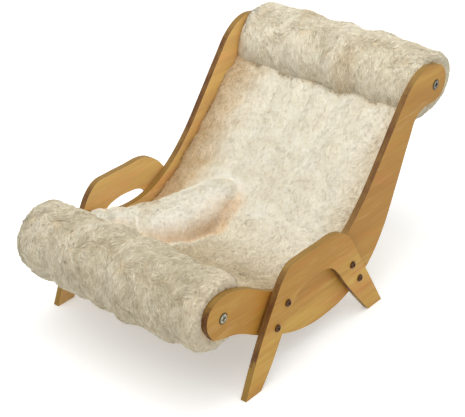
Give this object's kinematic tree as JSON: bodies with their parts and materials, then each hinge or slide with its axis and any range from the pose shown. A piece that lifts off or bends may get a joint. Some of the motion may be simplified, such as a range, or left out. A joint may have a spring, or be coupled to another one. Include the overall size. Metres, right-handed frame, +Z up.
{
  "type": "cat sofa",
  "caption": "Low pet lounger: S-shaped plywood side rails bolted to arched arm-and-leg plates, carrying a padded cream plush sling between a front roll and a top roll.",
  "frame": {"origin": "on the floor, under the middle of the sofa's width and length", "axes": "+Z up, -Y towards the front roll, +X towards the sofa's left side"},
  "size_m": [0.3588, 0.566, 0.326],
  "materials": {
    "plywood": "sanded birch plywood, satin clear coat, laser-cut brown edges",
    "bar_wood": "bare turned dowel",
    "plush": "long-pile cream plush",
    "lining": "plain woven cotton",
    "foam": "open-cell foam",
    "zinc_steel": "bright zinc-plated",
    "bronze_steel": "dark bronze coating, satin",
    "nylon": "moulded nylon"
  },
  "bodies": {
    "root": {"left_rail": "plywood", "left_arm": "plywood", "left_arm_bolt_1": "bronze_steel", "left_spacer_1": "nylon", "left_tee_nut_1": "zinc_steel", "left_arm_bolt_2": "bronze_steel", "left_spacer_2": "nylon", "left_tee_nut_2": "zinc_steel", "left_arm_bolt_3": "bronze_steel", "left_spacer_3": "nylon", "left_tee_nut_3": "zinc_steel", "left_arm_bolt_4": "bronze_steel", "left_spacer_4": "nylon", "left_tee_nut_4": "zinc_steel", "left_front_insert": "zinc_steel", "left_front_bar_bolt": "zinc_steel", "left_top_insert": "zinc_steel", "left_top_bar_bolt": "zinc_steel", "right_rail": "plywood", "right_arm": "plywood", "right_arm_bolt_1": "bronze_steel", "right_spacer_1": "nylon", "right_tee_nut_1": "zinc_steel", "right_arm_bolt_2": "bronze_steel", "right_spacer_2": "nylon", "right_tee_nut_2": "zinc_steel", "right_arm_bolt_3": "bronze_steel", "right_spacer_3": "nylon", "right_tee_nut_3": "zinc_steel", "right_arm_bolt_4": "bronze_steel", "right_spacer_4": "nylon", "right_tee_nut_4": "zinc_steel", "right_front_insert": "zinc_steel", "right_front_bar_bolt": "zinc_steel", "right_top_insert": "zinc_steel", "right_top_bar_bolt": "zinc_steel", "front_bar": "bar_wood", "top_bar": "bar_wood", "front_foam": "foam", "top_foam": "foam", "front_sleeve": "plush", "top_sleeve": "plush", "seat_pad": "plush", "seat_lining": "lining"}
  },
  "joints": []
}
